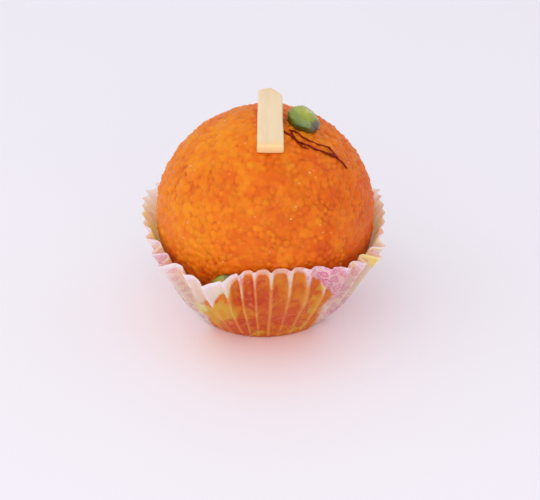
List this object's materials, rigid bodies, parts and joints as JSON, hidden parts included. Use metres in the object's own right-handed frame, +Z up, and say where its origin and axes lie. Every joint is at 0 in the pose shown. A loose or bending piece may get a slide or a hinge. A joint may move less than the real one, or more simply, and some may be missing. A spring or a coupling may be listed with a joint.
{
  "type": "ladoo",
  "caption": "Round Indian gram-flour sweet of fused orange boondi grains, garnished with almond, pistachio and saffron, sitting in a pleated paper case.",
  "frame": {"origin": "middle of the flat underside of the paper case, on the surface that it stands on", "axes": "+Z up; -Y is the shown side, which the ladoo leans towards and where the almond's lower end points; +X is the side with the saffron and the upper pistachio"},
  "size_m": [0.0586, 0.0611, 0.0552],
  "materials": {
    "motichoor": "orange fried gram-flour pearls held together with sugar syrup, moist, slightly translucent, soft sheen",
    "saffron": "dry crimson saffron thread",
    "almond": "blanched almond flesh, smooth cut faces, satin",
    "pistachio": "moist green pistachio kernel with scraps of purple-brown skin",
    "printed_paper": "thin white greaseproof paper with a pink and yellow floral print, soaked translucent where it touches the sweet"
  },
  "bodies": {
    "root": {"ladoo": "motichoor", "almond_sliver": "almond", "pistachio_top": "pistachio", "pistachio_side": "pistachio", "paper_case": "printed_paper"}
  },
  "joints": []
}
